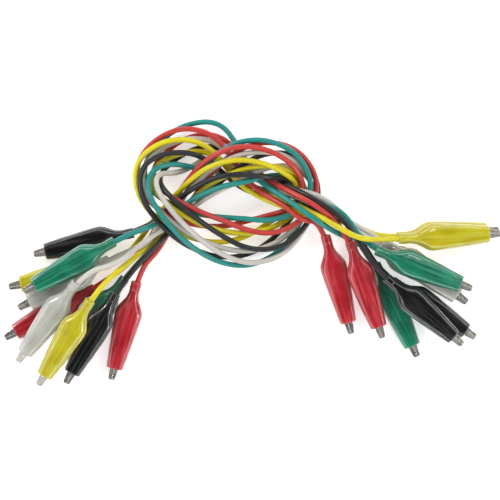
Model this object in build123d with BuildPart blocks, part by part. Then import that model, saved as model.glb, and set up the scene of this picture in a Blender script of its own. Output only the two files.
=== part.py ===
"""Ten alligator clip test leads tied together in one loose overhand knot (mm).

Each lead is a jacketed wire with a clip at both ends.  A clip is two sheet
steel jaws on a rivet pin, a torsion spring that holds them shut, a crimp
barrel on the fixed jaw and a soft boot pulled over everything but the tips.
"""
from build123d import *
import math
import os

os.makedirs("parts", exist_ok=True)

# ---------------------------------------------------------------- wires
JACKET_R = 1.2
COPPER_R = 0.75
JACKET_END = -16.0           # where the jacket stops, along the clip's own x axis
NECK_RUN = 18.0              # straight run of wire behind the crimp
FILLET_SHARE = 0.45          # share of the shorter run that each rounded corner uses

# Middle of the set of clips, taken as the origin on the table.
MIDDLE = (0.6, -23.5)

# The ten leads run side by side along one knotted centre line.
# Each station: x, y, height, half width and half height of the bundle.
BUNDLE = [
    (-46, 4, 6, 6, 3.6),             # left tail, on the table
    (-39, 11, 5.4, 4.8, 4),
    (-32, 18, 5.4, 4.6, 4),          # under the band of the lower arc
    (-25, 25.5, 8.5, 5.5, 3.9),
    (-16, 33, 14.6, 7.5, 3.2),
    (-5, 38.2, 17, 9.2, 3),          # fan over the left loop
    (6, 40.2, 16, 8.8, 3),
    (17, 38.3, 12.3, 7.5, 3.4),
    (25, 31.5, 7.2, 5.2, 4),         # right loop
    (26, 22.5, 5.4, 4.8, 4),
    (20.5, 13.5, 5.4, 6, 4),         # under the right tail
    (10.5, 6, 5.2, 9.8, 3.3),
    (-1, 3, 5, 11.2, 3.1),           # lower arc, spread flat
    (-13, 4.5, 7, 10.2, 3.1),
    (-25.5, 9.5, 12.8, 8.2, 3.3),
    (-36.5, 17, 17, 6.5, 3.6),       # over the left tail
    (-44.5, 26, 14.5, 5.6, 4),
    (-45.5, 35.5, 8.8, 6.2, 3.9),    # left loop
    (-38.5, 42.5, 5.5, 7.4, 3.7),
    (-28, 46.5, 4.9, 8.2, 3.4),
    (-17.5, 46, 4.9, 8, 3.4),
    (-9, 39.5, 4.9, 6.2, 3.5),       # under the fan
    (-2, 32, 5.2, 5.2, 3.8),
    (7, 27, 7, 4.7, 4),
    (17, 23, 13.2, 4.7, 4),
    (28, 18, 16.6, 4.8, 4),          # over the right loop
    (39, 12.5, 14, 5.5, 3.8),        # right tail
]
LAY_PER_STATION = 25.0       # degrees the bundle turns about its own centre line
RING = ["black_1", "green_1", "white_2", "black_2", "red_1", "green_2", "red_2", "yellow_1"]
CORE = {"white_1": 0.36, "yellow_2": -0.36}    # share of the half width, to the outside

# Single leads pushed off the regular lay: (lead, station): (outwards, up).
NUDGE = {
    ("black_1", 6): (-0.8, 0.8),
    ("green_1", 6): (0.5, -0.3),
    ("black_2", 17): (-0.6, -0.4),
    ("red_1", 17): (0.4, -0.6),
    ("white_2", 17): (0.3, 1.2),        # slack turns inside the left loop
    ("white_2", 18): (-3, 0),
    ("white_2", 19): (-3, 0),
    ("green_1", 19): (-2, 0),
    ("green_1", 20): (-4, 0),
    ("green_1", 21): (-1.5, 0),
    ("green_2", 19): (1.5, 0),           # slack turns outside it
    ("green_2", 20): (4, 0),
    ("green_2", 21): (1.5, 0),
    ("red_2", 19): (0.6, 0),
    ("black_1", 24): (0, 0.6),
    ("green_1", 1): (0, 1),
    ("white_2", 0): (0, 2.2),
    ("red_1", 0): (-1.0, -0.2),
    ("yellow_2", 0): (-0.6, -0.6),
    ("green_2", 0): (-0.4, -0.6),
    ("black_2", 0): (-0.8, 0.6),
    ("red_1", 25): (1.2, -0.3),
    ("green_2", 25): (-0.6, 0.4),
    ("green_1", 26): (0, 3),
}

# Clips: lead, side, pin x, pin y, pin height, heading, nose-down pitch, roll (degrees),
# station where the lead leaves the bundle, guide points between the bundle and the clip.
CLIPS = [
    ("black_1", "left", -78.6, 1.8, 4.3, -168, 5, 180, 2, []),
    ("yellow_1", "left", -89.6, -12.4, 3.1, -167, 0, 0, 1, [(-48, 5.5, 1.9)]),
    ("green_1", "left", -83.6, -9.8, 15.8, -151, 0, 180, 1, [(-45, 9.5, 13.5)]),
    ("white_1", "left", -86.4, -17.4, 9.4, -152, 0, 180, 1, [(-44.2, 2.8, 8.2)]),
    ("red_2", "left", -93.0, -30.4, 3.1, -151, 0, 0, 1, [(-46.8, 0, 2.2)]),
    ("white_2", "left", -91.8, -35.6, 12.2, -127, 16, 0, 0, [(-58, -6.5, 19.5)]),
    ("yellow_2", "left", -83.6, -44.8, 16.6, -122, 15, 180, 0, [(-54.5, -6.5, 15)]),
    ("green_2", "left", -72.4, -34.4, 3.1, -128, 0, 0, 0, []),
    ("black_2", "left", -72.4, -43.4, 10.9, -119, 4, 0, 0, []),
    ("red_1", "left", -56.8, -40.6, 5.5, -105, 10, 0, 0, []),
    ("yellow_2", "right", 93.0, 6.4, 10.8, 3, 6, 0, 25, [(38, 10.2, 20.8), (48, 4.5, 22.4)]),
    ("yellow_1", "right", 92.6, 7.6, 3.1, 4, 0, 0, 25, [(40.5, 13, 2.2), (50, 9.5, 2)]),
    ("green_1", "right", 80.9, -10.5, 15.8, -22, 0, 0, 26, []),
    ("white_1", "right", 81.3, -12.9, 9.4, -36, 0, 0, 26, []),
    ("black_1", "right", 85.2, -29.0, 5.3, -34, 9.5, 0, 26, [(48, 5.5, 10)]),
    ("black_2", "right", 80.2, -30.2, 12.3, -41, 9.5, 0, 26, [(47.5, 3.2, 19.3)]),
    ("white_2", "right", 78.0, -10.5, 3.1, -29, 0, 0, 24, [(31, 23.8, 13), (41, 16.2, 8)]),
    ("green_2", "right", 66.8, -31.4, 3.1, -66, 0, 0, 25, [(35.5, 8.7, 16), (43.5, 5, 6.5)]),
    ("red_1", "right", 52.7, -22.4, 8.9, -71, 8, 180, 25, []),
    ("red_2", "right", 40.3, -20.3, 4.8, -75, 8, 180, 24, [(22.5, 13, 17)]),
]
LEADS = [a + "_" + b for a in ("black", "red", "yellow", "green", "white") for b in "12"]

# ---------------------------------------------------------------- clip sizes
# The clip is drawn once with its pin on the origin, tips towards +x and the
# pin along z, and is then placed twenty times.
SHEET = 0.45                 # jaw sheet thickness
JAW_TIP = 17.2
HANDLE_END = -12.0
JAW_HALF = 2.0               # half width of the fixed jaw and of both bites
INNER_HALF = 1.5             # half width of the moving jaw between the fixed ears
EAR_R = 1.8
PIN_R = 0.8
PIN_HEAD_R = 1.25
PIN_HEAD_T = 0.4
EAR_BORE_R = 0.85
BITE_GAP = 0.05              # half the gap between the closed jaws
TOOTH_PITCH = 1.2
TOOTH_DEPTH = 0.5
FIRST_TOOTH = 8.6
TEETH = 7
NECK_START = 3.2             # where the moving jaw narrows to pass between the ears
NECK_END = 3.7
# Back of a jaw from tip to handle: x, distance from the clip's middle line.
JAW_BACK = [
    (JAW_TIP, 1.0),
    (JAW_TIP - 0.6, 1.5),
    (11.0, 2.05),
    (NECK_START, 3.85),
    (-3.0, 4.0),
    (HANDLE_END, 4.7),
]
OVERCUT = 1.0                # how far a cutting shape runs past the metal
# Edge of a jaw's side walls that faces the other jaw, behind the bite.
SIDE_EDGE = [(HANDLE_END, 4.25), (-6.5, 3.0), (-2.0, 0.9), (0.0, BITE_GAP)]
BARREL = (-18.5, -15.0)      # crimp barrel, back and front
BARREL_R = 1.85
BARREL_BORE_R = 1.27
BARREL_SLIT = 0.3
STRAP_HALF = 0.9
# Strap from the fixed jaw's handle to the barrel: x, distance from the clip's middle line.
STRAP = [(-11.7, 4.65), (-11.7, 4.25), (-15.2, 1.42), (-15.8, 1.75)]
SPRING_R = 1.2
SPRING_WIRE_R = 0.18
SPRING_PITCH = 0.38
SPRING_WHOLE_TURNS = 2
SPRING_LEG = (-5.5, 3.5)
COPPER_END = -14.5
# Boot cross sections: x, width, thickness, corner radius.
BOOT_OUTER = [
    (-28, 4.6, 4.6, 2.25),
    (-22, 4.9, 4.9, 2.3),
    (-18.5, 7.4, 5.5, 2.3),
    (-15.8, 11.0, 6.1, 2.3),
    (-13.5, 12.1, 6.2, 2.3),
    (-10.5, 12.0, 6.2, 2.3),
    (2, 9.8, 6.2, 2.3),
    (12, 7.6, 6.2, 2.3),
]
BOOT_INNER = [
    (-19.8, 4.4, 3.9, 1.2),
    (-18.5, 6.1, 4.3, 1.2),
    (-15.8, 9.7, 4.9, 1.2),
    (-13.5, 10.8, 5.0, 1.2),
    (-10.5, 10.7, 5.0, 1.2),
    (2, 8.6, 5.0, 1.2),
    (12.2, 6.4, 5.0, 1.2),
]
NECK_BORE_R = 1.35


def bundle_point(lead, station):
    """Centre of one lead where it passes a station of the bundle."""
    x, y, z, half_width, half_height = BUNDLE[station]
    before = BUNDLE[max(station - 1, 0)]
    after = BUNDLE[min(station + 1, len(BUNDLE) - 1)]
    travel = math.atan2(after[1] - before[1], after[0] - before[0])
    if lead in RING:
        angle = math.radians(LAY_PER_STATION * station + 45.0 * RING.index(lead))
        outwards = half_width * math.cos(angle)
        up = half_height * math.sin(angle)
    else:
        outwards = half_width * CORE[lead]
        up = 0.0
    extra = NUDGE.get((lead, station), (0, 0))
    outwards += extra[0]
    up += extra[1]
    return (
        x - math.sin(travel) * outwards - MIDDLE[0],
        y + math.cos(travel) * outwards - MIDDLE[1],
        z + up,
    )


def clip_directions(clip):
    """The clip's own x and y axes: x to the tips, y to the moving jaw."""
    heading, pitch, roll = [math.radians(a) for a in clip[5:8]]
    forward = (math.cos(heading) * math.cos(pitch), math.sin(heading) * math.cos(pitch), -math.sin(pitch))
    level = (-math.sin(heading), math.cos(heading), 0.0)
    upright = (
        math.cos(heading) * math.sin(pitch),
        math.sin(heading) * math.sin(pitch),
        math.cos(pitch),
    )
    sideways = tuple(math.cos(roll) * l + math.sin(roll) * u for l, u in zip(level, upright))
    return forward, sideways


def clip_point(clip, along):
    """A point on the clip's own x axis, in the shared frame."""
    forward, _ = clip_directions(clip)
    pin = (clip[2] - MIDDLE[0], clip[3] - MIDDLE[1], clip[4])
    return tuple(p + along * f for p, f in zip(pin, forward))


def guide_points(clip):
    """The guide points of one tail, in the shared frame."""
    return [(x - MIDDLE[0], y - MIDDLE[1], z) for x, y, z in clip[9]]


def lead_route(lead):
    """Route of one lead from its left crimp, through the knot, to its right crimp."""
    left, right = [clip for clip in CLIPS if clip[0] == lead]
    route = [clip_point(left, JACKET_END), clip_point(left, JACKET_END - NECK_RUN)]
    route += guide_points(left)
    route += [bundle_point(lead, station) for station in range(left[8], right[8] + 1)]
    route += guide_points(right)
    route += [clip_point(right, JACKET_END - NECK_RUN), clip_point(right, JACKET_END)]
    return route


def corner_radii(route):
    """One bend radius per inner route point, from the shorter run beside it."""
    radii = []
    for a, b, c in zip(route[:-2], route[1:-1], route[2:]):
        incoming = Vector(b) - Vector(a)
        outgoing = Vector(c) - Vector(b)
        turn = math.radians(incoming.get_angle(outgoing))
        shorter = min(incoming.length, outgoing.length)
        radii.append(FILLET_SHARE * shorter / math.tan(turn / 2))
    return radii


def clip_location(clip):
    """Where a clip sits: its pin, its x axis to the tips, its z axis along the pin."""
    forward, sideways = clip_directions(clip)
    pin = (clip[2] - MIDDLE[0], clip[3] - MIDDLE[1], clip[4])
    return Plane(origin=pin, x_dir=forward, z_dir=Vector(forward).cross(Vector(sideways))).location


def across(x):
    """Plane square to the clip's x axis."""
    return Plane(origin=(x, 0, 0), x_dir=(0, 1, 0), z_dir=(1, 0, 0))


def save(builder, name):
    """Label one finished piece and write it out."""
    builder.part.label = name
    export_step(builder.part, "parts/" + name + ".step")


# ---------------------------------------------------------------- one clip


def prism(points, half_width, side=1, mode=Mode.ADD):
    """A flat outline in the clip's xy plane, thickened both ways along the pin."""
    with BuildSketch(Plane.XY) as outline:
        with BuildLine():
            Polyline(*[(x, side * y) for x, y in points], close=True)
        make_face()
    extrude(outline.sketch, amount=half_width, both=True, mode=mode)


def under_back(first, second, x):
    """Point at x, one sheet thickness inside the line through two points of a jaw's back."""
    slope = (second[1] - first[1]) / (second[0] - first[0])
    return x, first[1] + slope * (x - first[0]) - SHEET


def toothed_edge(depth):
    """Bite of a jaw from neck to tip; a positive depth cuts notches, a negative one adds teeth."""
    edge = [(NECK_START, BITE_GAP)]
    for tooth in range(TEETH):
        x = FIRST_TOOTH + TOOTH_PITCH * tooth
        edge += [(x, BITE_GAP), (x + TOOTH_PITCH / 2, BITE_GAP + depth)]
    return edge + [(x + TOOTH_PITCH, BITE_GAP), (JAW_TIP, BITE_GAP)]


def bite_front(side):
    """Front of a jaw: folded sheet, open towards the other jaw, whose teeth fit its notches."""
    prism(JAW_BACK[:4] + toothed_edge(side * TOOTH_DEPTH), JAW_HALF, side)
    hollow = [
        (JAW_TIP - SHEET, -OVERCUT),
        under_back(JAW_BACK[0], JAW_BACK[1], JAW_TIP - SHEET),
        under_back(JAW_BACK[2], JAW_BACK[3], JAW_BACK[2][0]),
        under_back(JAW_BACK[2], JAW_BACK[3], NECK_START - OVERCUT),
        (NECK_START - OVERCUT, -OVERCUT),
    ]
    prism(hollow, JAW_HALF - SHEET, side, Mode.SUBTRACT)


def handle(half_width, side):
    """Handle and ears of a jaw: a folded sheet channel around the pin."""
    outline = [(NECK_END, BITE_GAP), (NECK_END, JAW_BACK[3][1])] + JAW_BACK[4:] + SIDE_EDGE
    prism(outline, half_width, side)
    Cylinder(EAR_R, 2 * half_width)
    hollow = [
        (NECK_END + OVERCUT, -EAR_R - OVERCUT),
        (NECK_END + OVERCUT, JAW_BACK[3][1] - SHEET),
        under_back(JAW_BACK[4], JAW_BACK[5], JAW_BACK[4][0]),
        under_back(JAW_BACK[4], JAW_BACK[5], HANDLE_END - OVERCUT),
        (HANDLE_END - OVERCUT, -EAR_R - OVERCUT),
    ]
    prism(hollow, half_width - SHEET, side, Mode.SUBTRACT)


with BuildPart() as boot_shape:
    for x, width, thickness, corner in BOOT_OUTER:
        with BuildSketch(across(x)):
            RectangleRounded(width, thickness, corner)
    loft(ruled=True)
    for x, width, thickness, corner in BOOT_INNER:
        with BuildSketch(across(x)):
            RectangleRounded(width, thickness, corner)
    loft(ruled=True, mode=Mode.SUBTRACT)
    with BuildSketch(across(BOOT_OUTER[0][0])):
        Circle(NECK_BORE_R)
    extrude(amount=BOOT_INNER[1][0] - BOOT_OUTER[0][0], mode=Mode.SUBTRACT)

with BuildPart() as bite_shape:
    bite_front(1)

with BuildPart() as moving_jaw_shape:
    handle(INNER_HALF, 1)
    add(bite_shape.part)
    Cylinder(EAR_BORE_R, 2 * JAW_HALF, mode=Mode.SUBTRACT)

with BuildPart() as fixed_bite_shape:
    bite_front(-1)

with BuildPart() as fixed_jaw_shape:
    handle(JAW_HALF, -1)
    add(fixed_bite_shape.part)
    Cylinder(EAR_BORE_R, 2 * JAW_HALF, mode=Mode.SUBTRACT)
    prism(STRAP, STRAP_HALF, -1)
    with BuildSketch(across(BARREL[0])):
        Circle(BARREL_R)
    extrude(amount=BARREL[1] - BARREL[0])
    with BuildSketch(across(BARREL[0])):
        Circle(BARREL_BORE_R)
    extrude(amount=BARREL[1] - BARREL[0] + OVERCUT, mode=Mode.SUBTRACT)
    slit = [
        (BARREL[0] - OVERCUT, 0),
        (BARREL[0] - OVERCUT, BARREL_R + OVERCUT),
        (BARREL[1] + OVERCUT, BARREL_R + OVERCUT),
        (BARREL[1] + OVERCUT, 0),
    ]
    prism(slit, BARREL_SLIT / 2, 1, Mode.SUBTRACT)

with BuildPart() as pin_shape:
    with BuildSketch(Plane.XY.offset(-JAW_HALF)):
        Circle(PIN_R)
    extrude(amount=2 * JAW_HALF)
    for height in (JAW_HALF, -JAW_HALF - PIN_HEAD_T):
        with BuildSketch(Plane.XY.offset(height)):
            Circle(PIN_HEAD_R)
        extrude(amount=PIN_HEAD_T)

# Each spring leg leaves the coil along its tangent and ends against the inside of a jaw.
foot_reach = math.hypot(*SPRING_LEG)
foot_angle = math.degrees(math.atan2(SPRING_LEG[1], SPRING_LEG[0]))
leg_length = math.sqrt(foot_reach**2 - SPRING_R**2)
leg_turn = foot_angle - math.degrees(math.acos(SPRING_R / foot_reach))
spring_turns = SPRING_WHOLE_TURNS + 2 * leg_turn / 360
spring_height = spring_turns * SPRING_PITCH

with BuildPart() as coil_shape:
    with BuildLine(Plane.XY.offset(-spring_height / 2)) as coil:
        turns = Helix(SPRING_PITCH, spring_height, SPRING_R)
        Line(turns @ 0 - (turns % 0) * leg_length, turns @ 0)
        Line(turns @ 1, turns @ 1 + (turns % 1) * leg_length)
    with BuildSketch(Plane(origin=turns @ 0 - (turns % 0) * leg_length, z_dir=turns % 0)):
        Circle(SPRING_WIRE_R)
    sweep(path=coil.wires()[0])

with BuildPart() as spring_shape:
    add(coil_shape.part, rotation=(0, 0, -leg_turn))

with BuildPart() as copper_shape:
    with BuildSketch(across(JACKET_END)):
        Circle(COPPER_R)
    extrude(amount=COPPER_END - JACKET_END)

# ---------------------------------------------------------------- the set
for clip in CLIPS:
    lead, side = clip[:2]
    with BuildPart() as boot:
        with Locations(clip_location(clip)):
            add(boot_shape.part)
    save(boot, side + "_boot_" + lead)
    with BuildPart() as moving_jaw:
        with Locations(clip_location(clip)):
            add(moving_jaw_shape.part)
    save(moving_jaw, side + "_moving_jaw_" + lead)

for colour in ("black", "red", "yellow", "green", "white"):
    with BuildPart() as fixed_jaws:
        with Locations(*[clip_location(clip) for clip in CLIPS if clip[0].startswith(colour)]):
            add(fixed_jaw_shape.part)
    save(fixed_jaws, "fixed_jaws_" + colour)

for side in ("left", "right"):
    places = [clip_location(clip) for clip in CLIPS if clip[1] == side]
    with BuildPart() as pins:
        with Locations(*places):
            add(pin_shape.part)
    save(pins, side + "_rivet_pins")
    with BuildPart() as springs:
        with Locations(*places):
            add(spring_shape.part)
    save(springs, side + "_torsion_springs")

with BuildPart() as copper_ends:
    with Locations(*[clip_location(clip) for clip in CLIPS]):
        add(copper_shape.part)
save(copper_ends, "copper_ends")

for lead in LEADS:
    route = lead_route(lead)
    with BuildPart() as wire:
        with BuildLine() as centre_line:
            FilletPolyline(*route, radius=corner_radii(route))
        with BuildSketch(Plane(origin=centre_line.line @ 0, z_dir=centre_line.line % 0)):
            Circle(JACKET_R)
        sweep(path=centre_line.line)
    length = sum(edge.length for edge in centre_line.edges())
    print(lead, "length", round(length, 1), "volume", round(wire.part.volume, 1),
          "section times length", round(math.pi * JACKET_R**2 * length, 1))
    save(wire, "wire_" + lead)
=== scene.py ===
"""Looks for a set of ten knotted alligator clip test leads, in metres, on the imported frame."""
import math

import bpy
from mathutils import Matrix, Vector, noise


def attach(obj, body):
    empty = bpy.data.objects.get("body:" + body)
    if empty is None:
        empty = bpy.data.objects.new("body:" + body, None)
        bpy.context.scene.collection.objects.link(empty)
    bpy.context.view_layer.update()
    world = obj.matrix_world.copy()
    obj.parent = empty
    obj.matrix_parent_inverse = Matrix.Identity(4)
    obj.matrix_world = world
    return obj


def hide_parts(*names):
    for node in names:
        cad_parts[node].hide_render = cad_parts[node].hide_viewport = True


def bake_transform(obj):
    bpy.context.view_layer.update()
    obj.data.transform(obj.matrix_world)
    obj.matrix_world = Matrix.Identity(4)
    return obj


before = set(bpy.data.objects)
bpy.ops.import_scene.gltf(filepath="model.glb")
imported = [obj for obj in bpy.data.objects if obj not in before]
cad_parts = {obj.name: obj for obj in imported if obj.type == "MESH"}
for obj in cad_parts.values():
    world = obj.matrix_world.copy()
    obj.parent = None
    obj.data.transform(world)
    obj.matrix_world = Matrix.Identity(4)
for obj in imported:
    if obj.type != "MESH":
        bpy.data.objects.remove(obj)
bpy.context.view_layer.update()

MM = 0.001
PHOTO_WIDTH = 221.5          # mm of table across the picture
CAMERA_HEIGHT = 1100.0
SENSOR = 36.0

# ---------------------------------------------------------------- layout, as in the CAD (mm)
JACKET_R = 1.2
JACKET_END = -16.0           # where the jacket stops, along the clip's own x axis
NECK_RUN = 18.0              # straight run of wire behind the crimp

# Middle of the set of clips, taken as the origin on the table.
MIDDLE = (0.6, -23.5)

# The ten leads run side by side along one knotted centre line.
# Each station: x, y, height, half width and half height of the bundle.
BUNDLE = [
    (-46, 4, 6, 6, 3.6),             # left tail, on the table
    (-39, 11, 5.4, 4.8, 4),
    (-32, 18, 5.4, 4.6, 4),          # under the band of the lower arc
    (-25, 25.5, 8.5, 5.5, 3.9),
    (-16, 33, 14.6, 7.5, 3.2),
    (-5, 38.2, 17, 9.2, 3),          # fan over the left loop
    (6, 40.2, 16, 8.8, 3),
    (17, 38.3, 12.3, 7.5, 3.4),
    (25, 31.5, 7.2, 5.2, 4),         # right loop
    (26, 22.5, 5.4, 4.8, 4),
    (20.5, 13.5, 5.4, 6, 4),         # under the right tail
    (10.5, 6, 5.2, 9.8, 3.3),
    (-1, 3, 5, 11.2, 3.1),           # lower arc, spread flat
    (-13, 4.5, 7, 10.2, 3.1),
    (-25.5, 9.5, 12.8, 8.2, 3.3),
    (-36.5, 17, 17, 6.5, 3.6),       # over the left tail
    (-44.5, 26, 14.5, 5.6, 4),
    (-45.5, 35.5, 8.8, 6.2, 3.9),    # left loop
    (-38.5, 42.5, 5.5, 7.4, 3.7),
    (-28, 46.5, 4.9, 8.2, 3.4),
    (-17.5, 46, 4.9, 8, 3.4),
    (-9, 39.5, 4.9, 6.2, 3.5),       # under the fan
    (-2, 32, 5.2, 5.2, 3.8),
    (7, 27, 7, 4.7, 4),
    (17, 23, 13.2, 4.7, 4),
    (28, 18, 16.6, 4.8, 4),          # over the right loop
    (39, 12.5, 14, 5.5, 3.8),        # right tail
]
LAY_PER_STATION = 25.0       # degrees the bundle turns about its own centre line
RING = ["black_1", "green_1", "white_2", "black_2", "red_1", "green_2", "red_2", "yellow_1"]
CORE = {"white_1": 0.36, "yellow_2": -0.36}    # share of the half width, to the outside

# Single leads pushed off the regular lay: (lead, station): (outwards, up).
NUDGE = {
    ("black_1", 6): (-0.8, 0.8),
    ("green_1", 6): (0.5, -0.3),
    ("black_2", 17): (-0.6, -0.4),
    ("red_1", 17): (0.4, -0.6),
    ("white_2", 17): (0.3, 1.2),        # slack turns inside the left loop
    ("white_2", 18): (-3, 0),
    ("white_2", 19): (-3, 0),
    ("green_1", 19): (-2, 0),
    ("green_1", 20): (-4, 0),
    ("green_1", 21): (-1.5, 0),
    ("green_2", 19): (1.5, 0),           # slack turns outside it
    ("green_2", 20): (4, 0),
    ("green_2", 21): (1.5, 0),
    ("red_2", 19): (0.6, 0),
    ("black_1", 24): (0, 0.6),
    ("green_1", 1): (0, 1),
    ("white_2", 0): (0, 2.2),
    ("red_1", 0): (-1.0, -0.2),
    ("yellow_2", 0): (-0.6, -0.6),
    ("green_2", 0): (-0.4, -0.6),
    ("black_2", 0): (-0.8, 0.6),
    ("red_1", 25): (1.2, -0.3),
    ("green_2", 25): (-0.6, 0.4),
    ("green_1", 26): (0, 3),
}

# Clips: lead, side, pin x, pin y, pin height, heading, nose-down pitch, roll (degrees),
# station where the lead leaves the bundle, guide points between the bundle and the clip.
CLIPS = [
    ("black_1", "left", -78.6, 1.8, 4.3, -168, 5, 180, 2, []),
    ("yellow_1", "left", -89.6, -12.4, 3.1, -167, 0, 0, 1, [(-48, 5.5, 1.9)]),
    ("green_1", "left", -83.6, -9.8, 15.8, -151, 0, 180, 1, [(-45, 9.5, 13.5)]),
    ("white_1", "left", -86.4, -17.4, 9.4, -152, 0, 180, 1, [(-44.2, 2.8, 8.2)]),
    ("red_2", "left", -93.0, -30.4, 3.1, -151, 0, 0, 1, [(-46.8, 0, 2.2)]),
    ("white_2", "left", -91.8, -35.6, 12.2, -127, 16, 0, 0, [(-58, -6.5, 19.5)]),
    ("yellow_2", "left", -83.6, -44.8, 16.6, -122, 15, 180, 0, [(-54.5, -6.5, 15)]),
    ("green_2", "left", -72.4, -34.4, 3.1, -128, 0, 0, 0, []),
    ("black_2", "left", -72.4, -43.4, 10.9, -119, 4, 0, 0, []),
    ("red_1", "left", -56.8, -40.6, 5.5, -105, 10, 0, 0, []),
    ("yellow_2", "right", 93.0, 6.4, 10.8, 3, 6, 0, 25, [(38, 10.2, 20.8), (48, 4.5, 22.4)]),
    ("yellow_1", "right", 92.6, 7.6, 3.1, 4, 0, 0, 25, [(40.5, 13, 2.2), (50, 9.5, 2)]),
    ("green_1", "right", 80.9, -10.5, 15.8, -22, 0, 0, 26, []),
    ("white_1", "right", 81.3, -12.9, 9.4, -36, 0, 0, 26, []),
    ("black_1", "right", 85.2, -29.0, 5.3, -34, 9.5, 0, 26, [(48, 5.5, 10)]),
    ("black_2", "right", 80.2, -30.2, 12.3, -41, 9.5, 0, 26, [(47.5, 3.2, 19.3)]),
    ("white_2", "right", 78.0, -10.5, 3.1, -29, 0, 0, 24, [(31, 23.8, 13), (41, 16.2, 8)]),
    ("green_2", "right", 66.8, -31.4, 3.1, -66, 0, 0, 25, [(35.5, 8.7, 16), (43.5, 5, 6.5)]),
    ("red_1", "right", 52.7, -22.4, 8.9, -71, 8, 180, 25, []),
    ("red_2", "right", 40.3, -20.3, 4.8, -75, 8, 180, 24, [(22.5, 13, 17)]),
]
LEADS = [a + "_" + b for a in ("black", "red", "yellow", "green", "white") for b in "12"]


def bundle_point(lead, station):
    """Centre of one lead where it passes a station of the bundle."""
    x, y, z, half_width, half_height = BUNDLE[station]
    before = BUNDLE[max(station - 1, 0)]
    after = BUNDLE[min(station + 1, len(BUNDLE) - 1)]
    travel = math.atan2(after[1] - before[1], after[0] - before[0])
    if lead in RING:
        angle = math.radians(LAY_PER_STATION * station + 45.0 * RING.index(lead))
        outwards = half_width * math.cos(angle)
        up = half_height * math.sin(angle)
    else:
        outwards = half_width * CORE[lead]
        up = 0.0
    extra = NUDGE.get((lead, station), (0, 0))
    outwards += extra[0]
    up += extra[1]
    return (
        x - math.sin(travel) * outwards - MIDDLE[0],
        y + math.cos(travel) * outwards - MIDDLE[1],
        z + up,
    )


def clip_directions(clip):
    """The clip's own x and y axes: x to the tips, y to the moving jaw."""
    heading, pitch, roll = [math.radians(a) for a in clip[5:8]]
    forward = (math.cos(heading) * math.cos(pitch), math.sin(heading) * math.cos(pitch), -math.sin(pitch))
    level = (-math.sin(heading), math.cos(heading), 0.0)
    upright = (
        math.cos(heading) * math.sin(pitch),
        math.sin(heading) * math.sin(pitch),
        math.cos(pitch),
    )
    sideways = tuple(math.cos(roll) * l + math.sin(roll) * u for l, u in zip(level, upright))
    return forward, sideways


def clip_point(clip, along):
    """A point on the clip's own x axis, in the shared frame."""
    forward, _ = clip_directions(clip)
    pin = (clip[2] - MIDDLE[0], clip[3] - MIDDLE[1], clip[4])
    return tuple(p + along * f for p, f in zip(pin, forward))


def guide_points(clip):
    """The guide points of one tail, in the shared frame."""
    return [(x - MIDDLE[0], y - MIDDLE[1], z) for x, y, z in clip[9]]


def lead_route(lead):
    """Route of one lead from its left crimp, through the knot, to its right crimp."""
    left, right = [clip for clip in CLIPS if clip[0] == lead]
    route = [clip_point(left, JACKET_END), clip_point(left, JACKET_END - NECK_RUN)]
    route += guide_points(left)
    route += [bundle_point(lead, station) for station in range(left[8], right[8] + 1)]
    route += guide_points(right)
    route += [clip_point(right, JACKET_END - NECK_RUN), clip_point(right, JACKET_END)]
    return route


# ---------------------------------------------------------------- materials
EDGE_ROUNDING = 0.35         # mm, how far the pressed metal's edges look rounded
BEVEL_SAMPLES = 6
GLOSS_SPREAD = 0.14          # how much rougher a metal's dullest spots are than its shiniest


def linear(red, green, blue):
    """Scene colour of an 8-bit display colour."""
    out = []
    for value in (red, green, blue):
        c = value / 255.0
        out.append(c / 12.92 if c <= 0.04045 else ((c + 0.055) / 1.055) ** 2.4)
    return (*out, 1.0)


def new_material(name):
    """An empty node material: (material, nodes, links, shader)."""
    material = bpy.data.materials.new(name)
    material.use_nodes = True
    nodes, links = material.node_tree.nodes, material.node_tree.links
    return material, nodes, links, nodes["Principled BSDF"]


def noise_of(nodes, links, coordinates, scale, detail=3.0, stretch=(1, 1, 1)):
    """Noise over coordinates, stretched by three factors; gives its value socket."""
    mapping = nodes.new("ShaderNodeMapping")
    mapping.inputs["Scale"].default_value = stretch
    links.new(coordinates, mapping.inputs["Vector"])
    texture = nodes.new("ShaderNodeTexNoise")
    texture.inputs["Scale"].default_value = scale
    texture.inputs["Detail"].default_value = detail
    links.new(mapping.outputs["Vector"], texture.inputs["Vector"])
    return texture.outputs["Fac"]


def ramp_of(nodes, links, value, low, high, from_min=0.35, from_max=0.65):
    """Maps a noise value to a number between low and high."""
    node = nodes.new("ShaderNodeMapRange")
    node.inputs["From Min"].default_value = from_min
    node.inputs["From Max"].default_value = from_max
    node.inputs["To Min"].default_value = low
    node.inputs["To Max"].default_value = high
    links.new(value, node.inputs["Value"])
    return node.outputs["Result"]


def mix_colour(nodes, links, factor, a, b):
    """Mixes two colours (tuples or sockets) by a socket."""
    node = nodes.new("ShaderNodeMix")
    node.data_type = "RGBA"
    links.new(factor, node.inputs["Factor"])
    for value, socket in ((a, node.inputs["A"]), (b, node.inputs["B"])):
        if isinstance(value, tuple):
            socket.default_value = value
        else:
            links.new(value, socket)
    return node.outputs["Result"]


def bump_of(nodes, links, height, distance, strength, below=None):
    """Bump from a height socket; distance in metres."""
    node = nodes.new("ShaderNodeBump")
    node.inputs["Distance"].default_value = distance
    node.inputs["Strength"].default_value = strength
    links.new(height, node.inputs["Height"])
    if below is not None:
        links.new(below, node.inputs["Normal"])
    return node.outputs["Normal"]


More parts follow.
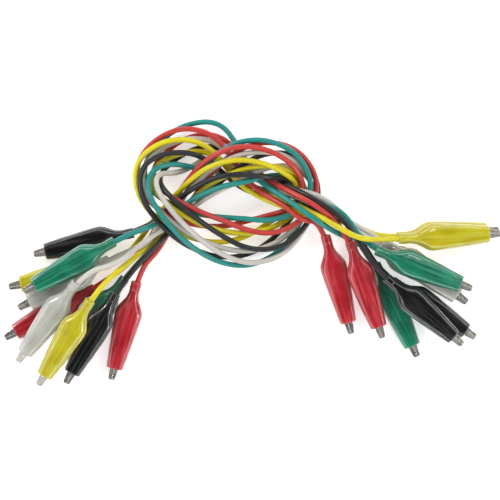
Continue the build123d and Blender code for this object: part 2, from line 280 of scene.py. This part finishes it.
def wire_material(name, colour, worn):
    """Satin extruded PVC: faint cloudiness, handling marks and a fine orange-peel."""
    material, nodes, links, shader = new_material(name)
    where = nodes.new("ShaderNodeTexCoord").outputs["Object"]
    cloud = ramp_of(nodes, links, noise_of(nodes, links, where, 60.0, 4.0), 0.0, 1.0)
    links.new(mix_colour(nodes, links, cloud, colour, worn), shader.inputs["Base Color"])
    smear = noise_of(nodes, links, where, 260.0, 3.0)
    links.new(ramp_of(nodes, links, smear, 0.28, 0.42), shader.inputs["Roughness"])
    peel = noise_of(nodes, links, where, 1500.0, 2.0)
    links.new(bump_of(nodes, links, peel, 0.00004, 0.35), shader.inputs["Normal"])
    shader.inputs["Subsurface Weight"].default_value = 0.06
    shader.inputs["Subsurface Radius"].default_value = (0.8, 0.5, 0.4)
    shader.inputs["Subsurface Scale"].default_value = 0.001
    shader.inputs["IOR"].default_value = 1.5
    return material


def boot_material(name, colour, pale, deep, milkiness):
    """Glossy soft vinyl: paler where it is stretched and where a highlight is painted along the panel
    edges and shoulder, streaked along its length, dusty in places.
    """
    material, nodes, links, shader = new_material(name)
    place = nodes.new("ShaderNodeAttribute")
    place.attribute_name = "place"
    where = place.outputs["Vector"]
    streak = noise_of(nodes, links, where, 1.0, 3.0, (0.05, 0.9, 0.9))
    streak = ramp_of(nodes, links, streak, 0.0, 0.4, 0.45, 0.7)
    cloud = ramp_of(nodes, links, noise_of(nodes, links, where, 0.14, 2.0), 0.0, 1.0)
    # Paler bands from the stretch attribute: stretched vinyl plus a painted highlight on the panel edges
    # and shoulder.
    stretch = nodes.new("ShaderNodeAttribute")
    stretch.attribute_name = "stretch"
    base = mix_colour(nodes, links, cloud, colour, deep)
    base = mix_colour(nodes, links, streak, base, pale)
    base = mix_colour(nodes, links, stretch.outputs["Fac"], base, pale)
    links.new(base, shader.inputs["Base Color"])
    dust = noise_of(nodes, links, where, 0.4, 2.0, (0.3, 1, 1))
    links.new(ramp_of(nodes, links, dust, 0.12, 0.24), shader.inputs["Roughness"])
    waves = noise_of(nodes, links, where, 0.6, 1.0, (0.07, 1, 1))
    grain = noise_of(nodes, links, where, 5.0, 1.0)
    normal = bump_of(nodes, links, waves, 0.0005, 0.4)
    normal = bump_of(nodes, links, grain, 0.00001, 0.2, normal)
    links.new(normal, shader.inputs["Normal"])
    shader.inputs["Subsurface Weight"].default_value = milkiness
    shader.inputs["Subsurface Radius"].default_value = (1.0, 0.7, 0.5)
    shader.inputs["Subsurface Scale"].default_value = 0.0012
    shader.inputs["IOR"].default_value = 1.52
    shader.inputs["Coat Weight"].default_value = 0.9
    shader.inputs["Coat Roughness"].default_value = 0.1
    return material


def metal_material(name, colour, stained, scale, rough):
    """Plated metal: rounded edges brighter from rubbed plating plus a painted highlight, a few stains,
    uneven gloss.
    """
    material, nodes, links, shader = new_material(name)
    where = nodes.new("ShaderNodeTexCoord").outputs["Object"]
    rounded = nodes.new("ShaderNodeBevel")
    rounded.samples = BEVEL_SAMPLES
    rounded.inputs["Radius"].default_value = EDGE_ROUNDING * MM
    edge = nodes.new("ShaderNodeVectorMath")
    edge.operation = "DOT_PRODUCT"
    links.new(rounded.outputs["Normal"], edge.inputs[0])
    links.new(nodes.new("ShaderNodeNewGeometry").outputs["Normal"], edge.inputs[1])
    # Painted highlight and rubbed plating: a brighter colour on the rounded edges.
    edge_rub_and_highlight = ramp_of(nodes, links, edge.outputs["Value"], 1.0, 0.0, 0.8, 0.98)
    stain = ramp_of(nodes, links, noise_of(nodes, links, where, scale, 3.0), 0.0, 1.0, 0.45, 0.75)
    base = mix_colour(nodes, links, stain, colour, stained)
    links.new(mix_colour(nodes, links, edge_rub_and_highlight, base, EDGE_RUB_AND_HIGHLIGHT), shader.inputs["Base Color"])
    shader.inputs["Metallic"].default_value = 1.0
    gloss = noise_of(nodes, links, where, scale, 2.0)
    links.new(ramp_of(nodes, links, gloss, rough, rough + GLOSS_SPREAD), shader.inputs["Roughness"])
    marks = noise_of(nodes, links, where, scale * 0.7, 1.0, (1, 1, 3))
    normal = bump_of(nodes, links, marks, 0.00001, 0.4, rounded.outputs["Normal"])
    links.new(normal, shader.inputs["Normal"])
    return material


# Colour of the painted highlight and rubbed plating on the metal's rounded edges.
EDGE_RUB_AND_HIGHLIGHT = linear(244, 242, 238)
WIRE_COLOURS = {             # new, worn
    "black": (linear(18, 20, 23), linear(36, 37, 40)),
    "red": (linear(204, 54, 46), linear(188, 62, 56)),
    "yellow": (linear(228, 216, 2), linear(212, 198, 14)),
    "green": (linear(16, 142, 134), linear(30, 132, 126)),
    "white": (linear(216, 212, 204), linear(194, 190, 182)),
}
BOOT_COLOURS = {             # colour, paler (streaks, stretch and painted edge highlight), deep, milkiness
    "black": (linear(10, 11, 12), linear(84, 86, 88), linear(6, 7, 8), 0.0),
    "red": (linear(184, 34, 48), linear(222, 108, 112), linear(160, 22, 34), 0.15),
    "yellow": (linear(194, 184, 20), linear(220, 214, 96), linear(180, 165, 12), 0.15),
    "green": (linear(12, 124, 92), linear(92, 172, 150), linear(6, 100, 72), 0.15),
    "white": (linear(188, 188, 180), linear(222, 222, 216), linear(172, 172, 163), 0.25),
}
wire_materials = {c: wire_material("wire_" + c, *values) for c, values in WIRE_COLOURS.items()}
boot_materials = {c: boot_material("boot_" + c, *values) for c, values in BOOT_COLOURS.items()}
NICKEL = metal_material("nickel_plate", linear(232, 228, 220), linear(196, 188, 174), 500.0, 0.25)
RIVET = metal_material("rivet_steel", linear(180, 180, 182), linear(120, 118, 114), 900.0, 0.25)
SPRING = metal_material("spring_steel", linear(120, 122, 128), linear(80, 78, 76), 900.0, 0.3)
COPPER = metal_material("bare_copper", linear(214, 132, 92), linear(150, 84, 58), 1200.0, 0.3)


def metres(point):
    """A point in mm as a Vector in metres."""
    return Vector(point) * MM


for lead in LEADS:
    route = [metres(p) for p in lead_route(lead)]
    line = bpy.data.curves.new("jacket_" + lead, "CURVE")
    line.dimensions = "3D"
    line.resolution_u = 10
    line.bevel_depth = JACKET_R * MM
    line.bevel_resolution = 5
    line.use_fill_caps = True
    spline = line.splines.new("NURBS")
    spline.points.add(len(route) - 1)
    for control, point in zip(spline.points, route):
        control.co = (*point, 1.0)
    spline.order_u = 3
    spline.use_endpoint_u = True
    jacket = bpy.data.objects.new("jacket_" + lead, line)
    bpy.context.collection.objects.link(jacket)
    line.materials.append(wire_materials[lead.split("_")[0]])
    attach(jacket, "lead_set")
    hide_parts("wire_" + lead)

# ---------------------------------------------------------------- boots
# Outer skin: x, half width, half thickness, half width of the flat panel, half height of the side.
BOOT_SKIN = [
    (-28.0, 2.22, 2.22, 0.92, 0.92),
    (-27.7, 2.32, 2.32, 0.96, 0.96),
    (-24.6, 2.36, 2.36, 0.98, 0.98),
    (-24.2, 2.24, 2.24, 0.93, 0.93),
    (-22.0, 2.4, 2.36, 1.1, 0.95),
    (-20.0, 2.95, 2.5, 1.5, 0.9),
    (-18.0, 4.1, 2.72, 2.1, 0.8),
    (-16.0, 5.3, 2.95, 3.1, 0.8),
    (-14.4, 5.9, 3.06, 4.1, 0.95),
    (-12.6, 6.05, 3.1, 4.5, 1.1),
    (-10.0, 5.93, 3.1, 4.45, 1.1),
    (-4.0, 5.4, 3.05, 4.0, 1.05),
    (2.0, 4.85, 3.0, 3.65, 1.1),
    (8.0, 4.2, 2.95, 3.0, 1.2),
    (11.7, 3.78, 2.9, 2.6, 1.2),
    (12.0, 3.68, 2.82, 2.5, 1.15),
]
NECK_END, MOUTH = BOOT_SKIN[0][0], BOOT_SKIN[-1][0]
WALL = 0.6
PANEL_INSET = 0.35           # how much narrower the flat panels are on the inside
SIDE_INSET = 0.2
BORE_END = -20.5             # behind this the inside is the wire's bore
BORE_R = 1.24
OCTAGON_SHARE = 0.414        # half a side of a regular octagon over its half width
CORNER_STEPS = 6
STATION_STEP = 0.6
PANEL_ROUNDING = 0.42        # share of the edges beside a corner that its rounding uses
SIDE_ROUNDING = 0.5

# Shallow dents in the soft skin.
DENT_DEPTH = 0.16
DENTS_ALONG = 0.16           # dents per mm
DENTS_ACROSS = 0.35
DENTS_START = -20.0          # none on the neck
SEED_STEP = (3.7, 1.3, 2.1)  # shift of the dents from one boot to the next
STREAK_SHIFT = 10            # the same for the colour streaks, as a multiple of it

# Paler bands on the boot: stretched vinyl plus a painted highlight along the panel edges and round the
# shoulder, and a paler band at the mouth and the neck's end. How wide each band is, and how pale.
RIDGE_WIDTH = 0.45
RIDGE_FROM = 0.6             # share of the half thickness where the panel edges begin
# Paleness of the panel edges: stretched vinyl and a painted highlight.
RIDGE_PALE_AND_HIGHLIGHT = 0.4
SHOULDER_AT = -12.5
SHOULDER_WIDTH = 1.6
# Extra paleness at the shoulder's arch: a painted highlight on the stretched panel edges.
SHOULDER_PALE_AND_HIGHLIGHT = 0.25
RIM_WIDTH = 0.5
RIM_PALE = 0.35
BODY_START = -19.0           # no paler panel edges, neither stretch nor painted highlight, on the neck, apart from its rim


def skin_at(x):
    """Section sizes of the boot's outer skin at x."""
    for low, high in zip(BOOT_SKIN[:-1], BOOT_SKIN[1:]):
        if x <= high[0]:
            t = (x - low[0]) / (high[0] - low[0])
            return [a + t * (b - a) for a, b in zip(low[1:], high[1:])]
    return list(BOOT_SKIN[-1][1:])


def rounded_section(width, thickness, panel, side):
    """Points round an eight-cornered section with soft corners, each corner's as many."""
    corners = [
        (width, side, SIDE_ROUNDING), (panel, thickness, PANEL_ROUNDING),
        (-panel, thickness, PANEL_ROUNDING), (-width, side, SIDE_ROUNDING),
        (-width, -side, SIDE_ROUNDING), (-panel, -thickness, PANEL_ROUNDING),
        (panel, -thickness, PANEL_ROUNDING), (width, -side, SIDE_ROUNDING),
    ]
    points = []
    for i, (y, z, share) in enumerate(corners):
        corner = Vector((y, z))
        before = Vector(corners[i - 1][:2])
        after = Vector(corners[(i + 1) % len(corners)][:2])
        a = corner.lerp(before, share)
        b = corner.lerp(after, share)
        for step in range(CORNER_STEPS):
            t = step / (CORNER_STEPS - 1)
            points.append(a * (1 - t) ** 2 + corner * 2 * t * (1 - t) + b * t**2)
    return points


def boot_rings(seed):
    """Rings of (x, y, z) in mm from the neck over the outside to the mouth, and back inside."""
    rings = []
    steps = int((MOUTH - NECK_END) / STATION_STEP) + 1
    stations = {round(NECK_END + STATION_STEP * i, 3) for i in range(steps)}
    stations = sorted(stations | {row[0] for row in BOOT_SKIN})
    for x in stations:
        width, thickness, panel, side = skin_at(x)
        ring = []
        for y, z in rounded_section(width, thickness, panel, side):
            dent = noise.noise(Vector((x * DENTS_ALONG, y * DENTS_ACROSS, z * DENTS_ACROSS)) + seed)
            push = -DENT_DEPTH * abs(dent) if x > DENTS_START else 0.0
            radius = math.hypot(y, z)
            ring.append((x, y * (1 + push / radius), z * (1 + push / radius)))
        rings.append(ring)
    for x in reversed([station for station in stations if station < MOUTH]):
        width, thickness, panel, side = skin_at(x)
        if x < BORE_END:
            width = thickness = BORE_R
            panel = side = BORE_R * OCTAGON_SHARE
        else:
            width -= WALL
            thickness -= WALL
            panel -= PANEL_INSET
            side -= SIDE_INSET
        rings.append([(x, y, z) for y, z in rounded_section(width, thickness, panel, side)])
    return rings


def fade(value, middle, width):
    """1 at the middle, falling off smoothly over the width."""
    return math.exp(-((value - middle) / width) ** 2)


def boot_mesh(name, seed):
    """The boot as one closed skin with its own coordinates and its paler bands stored on it: stretch
    marks with a painted highlight along the panel edges and shoulder.
    """
    rings = boot_rings(seed)
    around = len(rings[0])
    points = [p for ring in rings for p in ring]
    faces = []
    for r in range(len(rings)):
        following = (r + 1) % len(rings)
        for i in range(around):
            j = (i + 1) % around
            here, there = r * around, following * around
            faces.append((here + i, here + j, there + j, there + i))
    mesh = bpy.data.meshes.new(name)
    mesh.from_pydata(points, [], faces)
    for face in mesh.polygons:
        face.use_smooth = True
    mesh.attributes.new("place", "FLOAT_VECTOR", "POINT")
    # The stretch attribute holds the paler bands: stretched vinyl plus a painted highlight on the panel
    # edges and shoulder.
    mesh.attributes.new("stretch", "FLOAT", "POINT")
    place = mesh.attributes["place"]
    stretch = mesh.attributes["stretch"]
    for i, (x, y, z) in enumerate(points):
        place.data[i].vector = Vector((x, y, z)) + seed * STREAK_SHIFT
        _, thickness, panel, _ = skin_at(x)
        on_panel = abs(z) > RIDGE_FROM * thickness
        ridge = fade(abs(y), panel, RIDGE_WIDTH) if on_panel and x > BODY_START else 0.0
        shoulder = fade(x, SHOULDER_AT, SHOULDER_WIDTH)
        rim = fade(x, MOUTH, RIM_WIDTH) + fade(x, NECK_END, RIM_WIDTH)
        # Painted highlight and stretch paling on the panel edges and shoulder; a paler rim at the mouth
        # and the neck's end.
        pale = RIDGE_PALE_AND_HIGHLIGHT * ridge + SHOULDER_PALE_AND_HIGHLIGHT * shoulder * ridge + RIM_PALE * rim
        stretch.data[i].value = min(1.0, pale)
    return mesh


def clip_matrix(clip):
    """From a clip's own mm coordinates to the frame's metres."""
    forward, sideways = [Vector(d) for d in clip_directions(clip)]
    upright = forward.cross(sideways)
    turn = Matrix((forward, sideways, upright)).transposed().to_4x4()
    return Matrix.Translation(metres(clip_point(clip, 0))) @ turn @ Matrix.Scale(MM, 4)


for number, clip in enumerate(CLIPS):
    lead, side = clip[:2]
    colour = lead.split("_")[0]
    name = side + "_boot_" + lead
    seed = Vector([number * step for step in SEED_STEP])
    boot = bpy.data.objects.new("vinyl_" + name, boot_mesh("vinyl_" + name, seed))
    bpy.context.collection.objects.link(boot)
    boot.data.materials.append(boot_materials[colour])
    pose = clip_matrix(clip)
    boot.data.transform(pose)
    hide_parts(name)
    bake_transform(boot)

# ---------------------------------------------------------------- torsion springs
# One bent wire: a leg on each jaw's handle and a coil round the pin.
SPRING_R = 1.2
SPRING_WIRE_R = 0.18
SPRING_PITCH = 0.38
SPRING_WHOLE_TURNS = 2
SPRING_LEG = (-5.5, 3.5)
SPRING_STEPS = 24            # points round one turn


def spring_path():
    """Centre line of a spring from the fixed jaw's foot to the moving jaw's foot, in mm."""
    reach = math.hypot(*SPRING_LEG)
    leg = math.sqrt(reach**2 - SPRING_R**2)
    turn = math.atan2(SPRING_LEG[1], SPRING_LEG[0]) - math.acos(SPRING_R / reach)
    swept = SPRING_WHOLE_TURNS * 2 * math.pi + 2 * turn
    rise = SPRING_PITCH / (2 * math.pi)
    steps = int(SPRING_STEPS * swept / (2 * math.pi))
    coil = []
    for i in range(steps + 1):
        angle = -turn + swept * i / steps
        height = rise * swept * (i / steps - 0.5)
        coil.append(Vector((SPRING_R * math.cos(angle), SPRING_R * math.sin(angle), height)))
    slope = rise * leg / SPRING_R
    feet = [Vector((SPRING_LEG[0], sign * SPRING_LEG[1], coil[end].z + sign * slope))
            for sign, end in ((-1, 0), (1, -1))]
    return [feet[0]] + coil + [feet[1]]


def tube_mesh(name, path, radius):
    """A mesh tube of one radius along a list of points."""
    line = bpy.data.curves.new(name, "CURVE")
    line.dimensions = "3D"
    line.bevel_depth = radius
    line.bevel_resolution = 2
    line.use_fill_caps = True
    spline = line.splines.new("POLY")
    spline.points.add(len(path) - 1)
    for control, point in zip(spline.points, path):
        control.co = (*point, 1.0)
    pattern = bpy.data.objects.new(name, line)
    bpy.context.collection.objects.link(pattern)
    bpy.context.view_layer.update()
    mesh = bpy.data.meshes.new_from_object(pattern)
    bpy.data.objects.remove(pattern)
    bpy.data.curves.remove(line)
    return mesh


spring_pattern = tube_mesh("spring", spring_path(), SPRING_WIRE_R)
spring_pattern.materials.clear()
spring_pattern.materials.append(SPRING)
for clip in CLIPS:
    lead, side = clip[:2]
    spring = bpy.data.objects.new(side + "_spring_" + lead, spring_pattern.copy())
    bpy.context.collection.objects.link(spring)
    pose = clip_matrix(clip)
    spring.data.transform(pose)
    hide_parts(side + "_torsion_springs")
    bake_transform(spring)
bpy.data.meshes.remove(spring_pattern)

# ---------------------------------------------------------------- metal pieces from the CAD
METALS = {"moving_jaw": NICKEL, "fixed_jaws": NICKEL, "rivet_pins": RIVET, "copper_ends": COPPER}
for name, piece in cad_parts.items():
    for word, material in METALS.items():
        if word in name:
            piece.data.materials.clear()
            piece.data.materials.append(material)

# ---------------------------------------------------------------- floor, light and camera
FLOOR_HALF = 2.0             # metres
FLOOR_DROP = 0.2             # mm below the leads
FLOOR_GLOW = 0.55            # keeps the shadows on the white floor pale
floor_mesh = bpy.data.meshes.new("floor")
floor_corners = [(x * FLOOR_HALF, y * FLOOR_HALF, 0) for x, y in ((-1, -1), (1, -1), (1, 1), (-1, 1))]
floor_mesh.from_pydata(floor_corners, [], [(0, 1, 2, 3)])
floor = bpy.data.objects.new("floor", floor_mesh)
floor.location.z = -FLOOR_DROP * MM
bpy.context.collection.objects.link(floor)
paper, nodes, links, shader = new_material("white_paper")
shader.inputs["Base Color"].default_value = (0.9, 0.9, 0.9, 1)
shader.inputs["Roughness"].default_value = 0.9
shader.inputs["Specular IOR Level"].default_value = 0.1
shader.inputs["Emission Color"].default_value = (1, 1, 1, 1)
shader.inputs["Emission Strength"].default_value = FLOOR_GLOW
floor_mesh.materials.append(paper)

# The room is a pale tent with a bright band round it, which draws the long highlights
# along the boots' edges: height of the view direction, share of TENT_STRENGTH.
TENT_STRENGTH = 2.8
TENT_BANDS = [(0.0, 0.08), (0.48, 0.1), (0.54, 1.0), (0.7, 1.0), (0.76, 0.03)]
world = bpy.data.worlds.new("tent")
bpy.context.scene.world = world
world.use_nodes = True
nodes, links = world.node_tree.nodes, world.node_tree.links
direction = nodes.new("ShaderNodeTexCoord").outputs["Generated"]
split = nodes.new("ShaderNodeSeparateXYZ")
links.new(direction, split.inputs["Vector"])
bands = nodes.new("ShaderNodeValToRGB")
while len(bands.color_ramp.elements) < len(TENT_BANDS):
    bands.color_ramp.elements.new(0.5)
for stop, (height, share) in zip(bands.color_ramp.elements, TENT_BANDS):
    stop.position = height
    stop.color = (share, share, share, 1)
links.new(split.outputs["Z"], bands.inputs["Fac"])
links.new(bands.outputs["Color"], nodes["Background"].inputs["Color"])
nodes["Background"].inputs["Strength"].default_value = TENT_STRENGTH


def softbox(name, location, size, power):
    """A square area light aimed at the middle of the set."""
    data = bpy.data.lights.new(name, "AREA")
    data.shape = "SQUARE"
    data.size = size
    data.energy = power
    light = bpy.data.objects.new(name, data)
    light.location = location
    light.rotation_euler = (-Vector(location)).to_track_quat("-Z", "Y").to_euler()
    bpy.context.collection.objects.link(light)


softbox("key", (-0.75, 0.55, 0.75), 0.2, 3.0)
softbox("fill", (0.85, -0.35, 0.6), 0.2, 1.5)
softbox("top", (0.25, 0.5, 1.3), 0.25, 1.5)

camera_data = bpy.data.cameras.new("camera")
camera_data.sensor_width = SENSOR
camera_data.lens = SENSOR * CAMERA_HEIGHT / PHOTO_WIDTH
camera_data.clip_start = 0.01
camera_data.clip_end = 20.0
camera = bpy.data.objects.new("camera", camera_data)
camera.location = (-MIDDLE[0] * MM, -MIDDLE[1] * MM, CAMERA_HEIGHT * MM)
bpy.context.collection.objects.link(camera)
bpy.context.scene.camera = camera
bpy.context.scene.view_settings.view_transform = "Standard"
